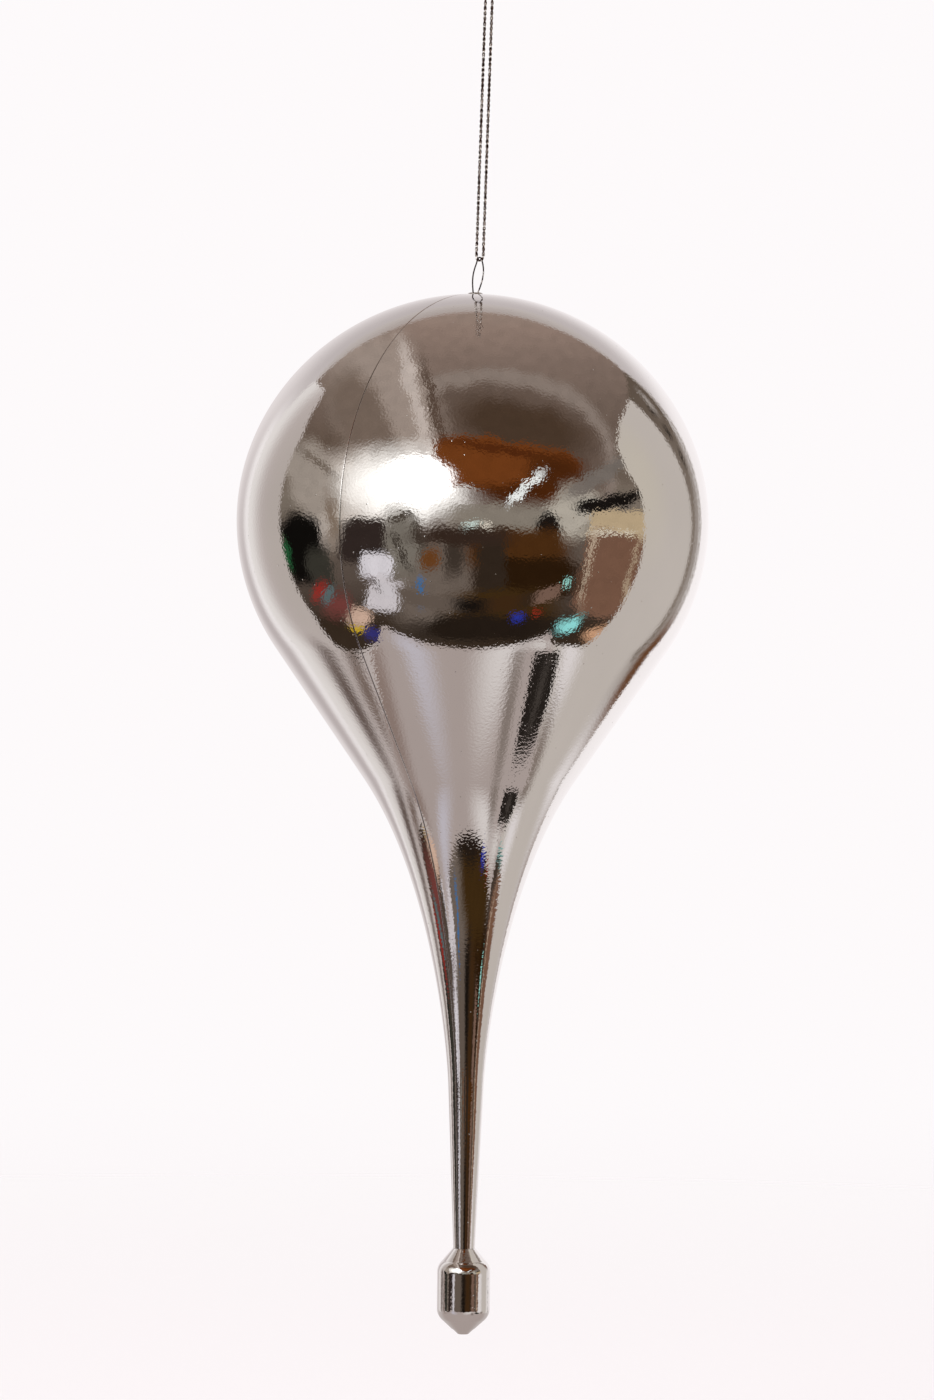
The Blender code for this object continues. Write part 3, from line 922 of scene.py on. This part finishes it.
def glow_material(name):
    """An emissive material, its graph and the socket for its colour."""
    made = bpy.data.materials.new(name)
    made.use_nodes = True
    g = Graph(made.node_tree)
    g.nodes.clear()
    glow = g.add("ShaderNodeEmission")
    output = g.add("ShaderNodeOutputMaterial")
    g.links.new(glow.outputs[0], output.inputs["Surface"])
    return made, g, glow.inputs["Color"]


def reflection_only(made):
    """Leaves a stage piece visible to glossy rays only, so that only the mirror sees it."""
    made.visible_camera = False
    made.visible_diffuse = False
    made.visible_shadow = False
    made.visible_transmission = False
    made.visible_volume_scatter = False


# What the mirror sees of the room, as soft shapes laid out on the disc of a mirror ball. Each has
# its centre and half sizes in hundredths of the ball's radius, its turn in degrees, its softness,
# its squareness, its tone and, where it isn't 1, its gain.
ROOM = [
    # ceiling
    (11, 26, 48, 41, -8, 0.05, 2.2, (132, 119, 111)),
    (11, 23, 44, 38, -8, 0.06, 2.2, (98, 83, 74)),
    (20, 42, 27, 11, -14, 0.4, 2.4, (70, 54, 42)),
    (-36, 50, 19, 34, 20, 0.35, 3.0, (150, 136, 127)),
    (-44, 41, 10, 26, 24, 0.25, 3.0, (112, 97, 87)),
    (-24, 54, 2.6, 25, 15, 0.35, 4.0, (184, 172, 165)),
    (-16, 50, 1.6, 22, 14, 0.5, 4.0, (84, 68, 58)),
    # walls and lamp
    (-50, 10, 16, 20, 0, 0.35, 3.0, (188, 178, 170)),
    (-66, 18, 10, 18, 20, 0.3, 3.0, (150, 140, 131)),
    (-64, 26, 9.6, 1.2, -35, 0.7, 3.0, (104, 92, 82)),
    (-58, 3, 2.2, 14, 4, 0.6, 3.0, (122, 107, 94)),
    (-27, 16, 24, 15, 0, 0.55, 2.0, (245, 243, 240), 1.3),
    (13, 25, 30, 11.5, -8, 0.06, 4.5, (106, 57, 24)),
    (12, 33, 24, 1.8, -9, 0.6, 3.0, (78, 38, 15)),
    (34, 22, 12, 8, -14, 0.5, 2.4, (70, 35, 13)),
    (20, 14, 20, 4, 0, 0.7, 2.4, (68, 33, 11)),
    (-22.5, 19, 13, 9.2, 0, 0.4, 2.0, (255, 255, 255), 3.0),
    (21.5, 15.5, 1.5, 10.5, -43, 0.35, 4.0, (214, 218, 217), 1.2),
    (20, 0, 30, 7, -4, 0.3, 3.0, (128, 120, 110)),
    (40, 5, 9, 13, -30, 0.35, 3.0, (170, 163, 152)),
    (31, -2, 4.5, 6, 0, 0.3, 2.2, (26, 21, 18)),
    (53, 22, 17, 3.5, 33, 0.35, 3.0, (112, 104, 98)),
    (56, 10, 14, 3, 12, 0.2, 4.0, (22, 18, 16)),
    # shelves and boxes on the right
    (60, -2, 12, 8, 0, 0.08, 5.0, (178, 158, 128)),
    (57, -23, 13, 19, -13, 0.08, 5.0, (112, 82, 66)),
    (57, -4.6, 10, 0.7, 3, 0.4, 6.0, (205, 196, 178)),
    (47.5, -19, 0.8, 15, -12, 0.4, 6.0, (176, 158, 138)),
    (66, -20, 0.8, 15, -14, 0.4, 6.0, (160, 140, 118)),
    # the far floor and dark furniture
    (-12, -26, 21, 22, 0, 0.3, 3.0, (102, 91, 83)),
    (18, -12, 22, 9, 0, 0.25, 3.5, (70, 42, 18)),
    (22, -24, 22, 9, 0, 0.2, 3.5, (40, 24, 10)),
    (8, -22, 6, 18, 0, 0.25, 4.0, (46, 36, 28)),
    (12, -37, 23, 8, 3, 0.3, 3.0, (58, 40, 18)),
    (6, -46, 30, 5.5, 2, 0.35, 3.0, (34, 26, 20)),
    (-1, -1.6, 3.4, 1.6, 10, 0.5, 2.0, (198, 214, 208)),
    (6, -2, 2.0, 1.2, 0, 0.5, 2.0, (222, 214, 200)),
    # the left side: dark machines, posts and a white box
    (-70, -13, 8.5, 16, 8, 0.2, 3.0, (14, 12, 10)),
    (-62, -24, 5, 12, 10, 0.3, 3.0, (52, 50, 44)),
    (-45, -9, 10.5, 10, 0, 0.2, 3.0, (46, 37, 34)),
    (-29, -9, 6.5, 15, 4, 0.4, 3.0, (116, 110, 102)),
    (-30, 2, 5.5, 1.0, 8, 0.5, 3.0, (70, 62, 55)),
    (-29, -13, 1.2, 9, 22, 0.6, 3.0, (58, 51, 45)),
    (-22, -8, 1.3, 9, 12, 0.6, 3.0, (78, 71, 64)),
    (-17, -16.5, 3.2, 4.6, 0, 0.4, 3.0, (98, 60, 30)),
    (-8, -15, 3.6, 9, 0, 0.6, 3.0, (58, 49, 42)),
    (-5, -6.5, 19, 3.8, 0, 0.5, 3.0, (50, 37, 30)),
    (-39.5, -20, 6.5, 6.0, -12, 0.2, 4.5, (206, 202, 208)),
    (-36, -32, 6.5, 7.5, -20, 0.2, 4.5, (196, 190, 194)),
    (-38, -26.3, 6.0, 0.9, -16, 0.5, 3.0, (120, 110, 112)),
    (-21, -31, 1.5, 6, 6, 0.4, 3.0, (60, 104, 150)),
    (-63, -31, 2.6, 4.6, -24, 0.6, 2.4, (134, 44, 38)),
    (-55, -37, 5, 5, -34, 0.8, 2.2, (108, 58, 54)),
    (-59, -33, 1.6, 4, -24, 0.5, 2.4, (84, 100, 102)),
    (-46, -42, 5, 4, -20, 0.5, 2.2, (196, 166, 148)),
    (-46, -47.5, 3.6, 1.3, -12, 0.4, 2.4, (190, 158, 40)),
    (-39, -50.5, 4.6, 2.4, -14, 0.4, 2.6, (48, 46, 104)),
    (-77, -15, 1.0, 6, 12, 0.7, 3.0, (34, 84, 50)),
    # small bright things at the front edge on the right
    (19, -41.5, 2.2, 1.7, 0, 0.7, 2.0, (44, 56, 160), 0.8),
    (27, -39, 1.9, 1.4, 0, 0.7, 2.0, (140, 46, 32), 0.8),
    (40, -26, 1.4, 1.4, 0, 0.5, 2.0, (150, 210, 200)),
    (40, -44, 6, 2.2, 30, 0.6, 2.4, (140, 214, 212)),
    (51, -48, 4.6, 2.2, 32, 0.7, 2.4, (196, 152, 120)),
]


def patch_group():
    """A group that gives how much a soft, turned, rounded rectangle covers of a place."""
    tree = bpy.data.node_groups.new("room_patch", "ShaderNodeTree")
    for name in ("Place", "Centre", "Size"):
        tree.interface.new_socket(name, in_out="INPUT", socket_type="NodeSocketVector")
    for name in ("Turn", "Softness", "Squareness"):
        tree.interface.new_socket(name, in_out="INPUT", socket_type="NodeSocketFloat")
    tree.interface.new_socket("Cover", in_out="OUTPUT", socket_type="NodeSocketFloat")
    g = Graph(tree)
    given = g.add("NodeGroupInput").outputs
    moved = g.vector("SUBTRACT", given["Place"], given["Centre"])
    turn = g.add(
        "ShaderNodeVectorRotate", {"Vector": moved, "Angle": given["Turn"]}, rotation_type="Z_AXIS"
    ).outputs[0]
    scaled = g.vector("ABSOLUTE", g.vector("DIVIDE", turn, given["Size"]))
    parts = g.add("ShaderNodeSeparateXYZ", {0: scaled}).outputs
    total = g.math(
        "ADD",
        g.math("POWER", parts[0], given["Squareness"]),
        g.math("POWER", parts[1], given["Squareness"]),
    )
    reach = g.math("POWER", total, g.math("DIVIDE", 1.0, given["Squareness"]))
    low = g.math("SUBTRACT", 1.0, given["Softness"])
    high = g.math("ADD", 1.0, given["Softness"])
    cover = g.math("SUBTRACT", 1.0, g.smoothstep(reach, low, high))
    output = g.add("NodeGroupOutput")
    g.links.new(cover, output.inputs[0])
    return tree


SOFT_PATCH = patch_group()


def patched(g, place_at, tone, patches, unit=1.0):
    """Lays soft shapes over a tone. Their places and half sizes are in the given unit."""
    for u, v, half_u, half_v, turn, softness, squareness, rgb, *gain in patches:
        inputs = {
            "Place": place_at,
            "Centre": (u * unit, v * unit, 0.0),
            "Size": (half_u * unit, half_v * unit, 1.0),
            "Turn": math.radians(-turn),
            "Softness": softness,
            "Squareness": squareness,
        }
        cover = g.add("ShaderNodeGroup", inputs, node_tree=SOFT_PATCH)
        tone = g.mix(cover.outputs[0], tone, seen(rgb, *gain))
    return tone


def room_material():
    made, g, socket = glow_material("room_reflection")
    away = g.vector("NORMALIZE", g.coordinates())
    middle = g.vector("NORMALIZE", g.vector("ADD", away, (0.0, -1.0, 0.0)))
    parts = g.add("ShaderNodeSeparateXYZ", {0: middle}).outputs
    flat = g.add("ShaderNodeCombineXYZ", {0: parts[0], 1: parts[2], 2: 0.0}).outputs[0]
    noise = g.add("ShaderNodeTexNoise", {"Vector": flat, "Scale": 14.0, "Detail": 3.0})
    wobble = g.vector("SUBTRACT", noise.outputs["Color"], (0.5, 0.5, 0.5))
    place_in_disc = g.vector("ADD", flat, g.vector("MULTIPLY", wobble, (0.07, 0.07, 0.0)))
    ramp = g.add("ShaderNodeValToRGB", {"Fac": g.math("MULTIPLY_ADD", parts[2], 0.5, 0.5)})
    stops = [
        (-1.0, (60, 48, 38)), (-0.45, (50, 39, 30)), (-0.25, (84, 73, 66)), (-0.05, (92, 82, 74)),
        (0.1, (118, 108, 98)), (0.3, (92, 77, 66)), (0.5, (106, 91, 82)), (0.7, (122, 105, 96)),
        (0.84, (138, 119, 109)), (1.0, (150, 134, 124)),
    ]
    elements = ramp.color_ramp.elements
    elements.remove(elements[0])
    for i, (height, rgb) in enumerate(stops):
        where = (height + 1.0) / 2.0
        stop = elements.new(where) if i else elements[0]
        stop.position = where
        stop.color = seen(rgb)
    tone = patched(g, place_in_disc, ramp.outputs[0], ROOM, 0.01)
    shade = g.math("MULTIPLY_ADD", g.noise(flat, 26.0, 4.0, 0.65), 0.6, 0.7)
    g.links.new(g.scaled(tone, shade), socket)
    return made


def round_mesh(name, columns, middle, rings, foot=None):
    """Rings of (radius, height) round the Z axis, closed by a point in the middle and one at the foot."""
    points = [(0.0, 0.0, middle)]
    for radius, height in rings:
        for k in range(columns):
            a = TAU * k / columns
            points.append((radius * math.cos(a), radius * math.sin(a), height))
    faces = []
    last = 1 + (len(rings) - 1) * columns
    for k in range(columns):
        n = (k + 1) % columns
        faces.append([0, 1 + k, 1 + n])
        for a in range(1, last, columns):
            b = a + columns
            faces.append([a + k, b + k, b + n, a + n])
        if foot is not None:
            faces.append([last + k, len(points), last + n])
    if foot is not None:
        points.append((0.0, 0.0, foot))
    mesh = bpy.data.meshes.new(name)
    mesh.from_pydata(points, [], faces)
    mesh.shade_smooth()
    return mesh


ROOM_RADIUS = 3.2
ROOM_ROWS = 32
ROOM_COLUMNS = 64

row_angles = [math.pi * i / ROOM_ROWS for i in range(1, ROOM_ROWS)]
rings = [(ROOM_RADIUS * math.sin(a), ROOM_RADIUS * math.cos(a)) for a in row_angles]
room_mesh = round_mesh("stage_room", ROOM_COLUMNS, ROOM_RADIUS, rings, -ROOM_RADIUS)
room_mesh.materials.append(room_material())
room = new_object("stage_room", room_mesh)
room.location = BODY_CENTRE
reflection_only(room)


def card_material(name, base, spots, axes):
    """An uneven panel of one base tone with soft spots, laid out in two of the body's axes."""
    made, g, socket = glow_material(name)
    millimetres = g.scaled(g.coordinates(), 1000.0)
    parts = g.add("ShaderNodeSeparateXYZ", {0: millimetres}).outputs
    flat = g.add("ShaderNodeCombineXYZ", {0: parts[axes[0]], 1: parts[axes[1]], 2: 0.0}).outputs[0]
    tone = patched(g, flat, seen(base), spots)
    shade = g.math("MULTIPLY_ADD", g.noise(flat, 0.006, 2.0, 0.5), 0.1, 0.95)
    g.links.new(g.scaled(tone, shade), socket)
    return made


def card(name, outline, base, spots, axes=(0, 1)):
    """A flat many-sided card. Its points are millimetres from the middle of the round body."""
    mesh = bpy.data.meshes.new(name)
    mesh.from_pydata([tuple(Vector(p) * MM) for p in outline], [], [list(range(len(outline)))])
    mesh.materials.append(card_material(name, base, spots, axes))
    made = new_object(name, mesh)
    made.location = BODY_CENTRE
    reflection_only(made)


def square_card(name, axis, at, outline, base, spots):
    """A card that stands square to one axis. Its outline and spots are in the other two axes."""
    corners = [(*p[:axis], at, *p[axis:]) for p in outline]
    card(name, corners, base, spots, [i for i in range(3) if i != axis])


# The tent is open towards the camera. Its paper floor stands up a little at the front edge.
LEFT = -285.0
RIGHT = 240.0
FLOOR = -395.0
BACK = 225.0
TOP = 265.0
LIP_FOOT = -130.0
LIP_TOP = (-201.0, -345.0)
TABLE = -450.0

PAPER = (163, 151, 147)
PAPER_SPOTS = [
    (0, 190, 400, 110, 0, 0.5, 3.0, (182, 174, 172)),
    # Darker at the left edge: painted shade where the paper meets the left wall.
    (-270, -40, 34, 60, -20, 0.9, 2.4, (134, 117, 110)),
    (-165, -165, 62, 28, 20, 0.9, 2.4, (182, 177, 185)),
    (85, -180, 60, 24, -8, 0.9, 2.4, (206, 200, 198)),
    (120, -140, 18, 34, 20, 0.9, 2.4, (124, 113, 107)),
    (196, -172, 30, 14, 25, 0.9, 2.4, (200, 194, 191)),
]
sheet = [(LEFT, LIP_FOOT), (RIGHT, LIP_FOOT), (RIGHT, BACK), (LEFT, BACK)]
square_card("stage_paper", 2, FLOOR, sheet, PAPER, PAPER_SPOTS)
lip = [(LEFT, LIP_FOOT, FLOOR), (RIGHT, LIP_FOOT, FLOOR), (RIGHT, *LIP_TOP), (LEFT, *LIP_TOP)]
card("stage_paper_lip", lip, PAPER, PAPER_SPOTS)
square_card(
    "stage_table", 1, TABLE,
    [(-540, -430), (470, -430), (470, -325), (-540, -325)],
    (50, 36, 24),
    [
        (-225, -370, 185, 90, 0, 0.3, 5.0, (94, 83, 75)),
        (-440, -370, 75, 90, 0, 0.4, 6.0, (194, 189, 193)),
        (-10, -380, 60, 45, 0, 0.8, 4.0, (22, 17, 14)),
        (150, -370, 70, 90, 0, 0.6, 4.0, (58, 38, 20)),
        (390, -370, 90, 90, 0, 0.4, 4.0, (112, 88, 76)),
    ],
)
card(
    "stage_weight",
    [(172, -150, -365), (243, -106, -372), (238, -60, -385), (222, -54, -390), (160, -102, -390)],
    (34, 29, 26),
    [(205, -100, 12, 16, 30, 0.8, 2.0, (62, 56, 52))],
)
square_card(
    "stage_left", 0, LEFT,
    [
        (-135, FLOOR), (-30, -352), (10, -312), (24, -275), (2, -180), (15, 14),
        (28, 150), (81, 240), (110, TOP), (BACK, TOP), (BACK, FLOOR),
    ],
    (179, 169, 166),
    [
        (205, 0, 62, 700, 0, 0.9, 4.0, (218, 213, 211)),
        (30, -20, 50, 200, 0, 0.8, 2.5, (174, 165, 160)),
        # Darker at the foot: painted shade where the wall meets the paper.
        (92, -306, 28, 60, 0, 0.9, 2.4, (96, 83, 78)),
        (12, -350, 24, 40, 0, 0.9, 2.4, (112, 97, 90)),
    ],
)
square_card(
    "stage_right", 0, RIGHT,
    [
        (-170, FLOOR), (-128, -349), (-100, -316), (-60, -272), (-54, -240), (-56, -40), (-62, 51),
        (-80, 90), (-76, 141), (-25, 180), (75, 206), (205, 235), (BACK, 250), (BACK, FLOOR),
    ],
    (184, 176, 170),
    [
        (-70, -330, 40, 34, 0, 0.8, 2.4, (214, 208, 208)),
        (-18, -380, 30, 26, 0, 0.9, 2.4, (124, 112, 105)),
        (-45, 70, 40, 90, 0, 0.9, 2.4, (188, 180, 169)),
        (176, 10, 54, 260, 0, 0.5, 5.0, (146, 137, 131)),
        (196, 40, 9, 240, 0, 0.8, 4.0, (196, 190, 188)),
        (194, -185, 34, 62, 0, 0.6, 3.0, (98, 66, 46)),
        (172, -320, 50, 70, 0, 0.7, 3.0, (220, 214, 214)),
        (219, -335, 8, 60, 0, 0.6, 4.0, (66, 52, 44)),
    ],
)
square_card(
    "stage_post", 0, RIGHT - 2.0,
    [
        (75, 208), (80, 165), (90, 113), (104, 61), (116, 10), (120, -60),
        (122, -200), (140, -200), (142, 10), (158, 90), (196, 150), (215, 255),
    ],
    (92, 80, 70),
    [
        (128, -60, 40, 150, 0, 0.9, 4.0, (124, 113, 104)),
        (150, 178, 10, 26, -20, 0.8, 2.4, (160, 152, 147)),
        (128, 120, 8, 12, 0, 0.8, 2.0, (26, 22, 20)),
        (138, 80, 7, 12, 0, 0.8, 2.0, (22, 18, 16)),
        (122, 160, 7, 10, 0, 0.8, 2.0, (34, 28, 25)),
    ],
)
square_card(
    "stage_back", 1, BACK,
    [(LEFT, FLOOR), (RIGHT, FLOOR), (RIGHT, TOP), (LEFT, TOP)],
    (212, 205, 205),
    [
        (170, -60, 170, 330, 0, 0.8, 3.0, (236, 231, 232)),
        (-195, -170, 44, 190, 6, 0.9, 2.6, (180, 171, 171)),
        (-275, -40, 34, 420, 0, 0.9, 4.0, (230, 225, 225)),
        (0, 262, 500, 90, 0, 0.9, 5.0, (184, 176, 176)),
        (0, -395, 400, 40, 0, 0.9, 5.0, (190, 182, 180)),
    ],
)
square_card(
    "stage_top", 2, TOP,
    [
        (LEFT, 203), (-192, 174), (-101, 134), (-31, 125), (33, 136), (102, 150),
        (177, 185), (RIGHT - 12, 222), (RIGHT - 14, BACK), (LEFT, BACK),
    ],
    (170, 160, 156),
    [
        (0, 225, 400, 40, 0, 0.9, 4.0, (184, 176, 173)),
        (0, 125, 300, 14, 0, 0.9, 4.0, (150, 131, 123)),
    ],
)

FLOOR_HEIGHT = BODY_CENTRE.z + FLOOR * MM
FLOOR_RINGS = [(radius, 0.0) for radius in (0.5, 1.0, 2.0, 3.0, 4.0)]
FLOOR_COLUMNS = 96
PALE = (0.985, 0.955, 0.963)


def floor_material():
    """Pale paper that fades out at a distance, where the pale background takes over."""
    made, g, shader = new_material("stage_floor")
    shader.inputs["Base Color"].default_value = (0.955, 0.93, 0.938, 1.0)
    shader.inputs["Roughness"].default_value = 0.9
    fade = g.smoothstep(g.vector("LENGTH", g.coordinates()), 0.2, 1.8)
    clear = g.add("ShaderNodeBsdfTransparent")
    mixed = g.add("ShaderNodeMixShader", {0: fade, 1: shader.outputs[0], 2: clear.outputs[0]})
    output = next(n for n in g.nodes if n.type == "OUTPUT_MATERIAL")
    g.links.new(mixed.outputs[0], output.inputs["Surface"])
    return made


floor_data = round_mesh("stage_floor", FLOOR_COLUMNS, 0.0, FLOOR_RINGS)
floor_data.materials.append(floor_material())
floor = new_object("stage_floor", floor_data)
floor.location = (BODY_CENTRE.x, BODY_CENTRE.y, FLOOR_HEIGHT)
floor.visible_glossy = False

world = bpy.data.worlds.new("studio")
bpy.context.scene.world = world
world.use_nodes = True
background = world.node_tree.nodes["Background"]
background.inputs["Color"].default_value = (*PALE, 1.0)
background.inputs["Strength"].default_value = 1.0

for name, place_at, energy, size in (
    ("key", (-1.3, -1.2, 1.4), 6.0, 1.6),
    ("fill", (1.5, -0.6, 0.8), 3.0, 1.6),
):
    lamp = bpy.data.lights.new(name, "AREA")
    lamp.energy = energy
    lamp.size = size
    made = new_object(name, lamp)
    made.location = BODY_CENTRE + Vector(place_at)
    made.rotation_euler = (BODY_CENTRE - made.location).to_track_quat("-Z", "Y").to_euler()
    made.visible_camera = False
    made.visible_glossy = False
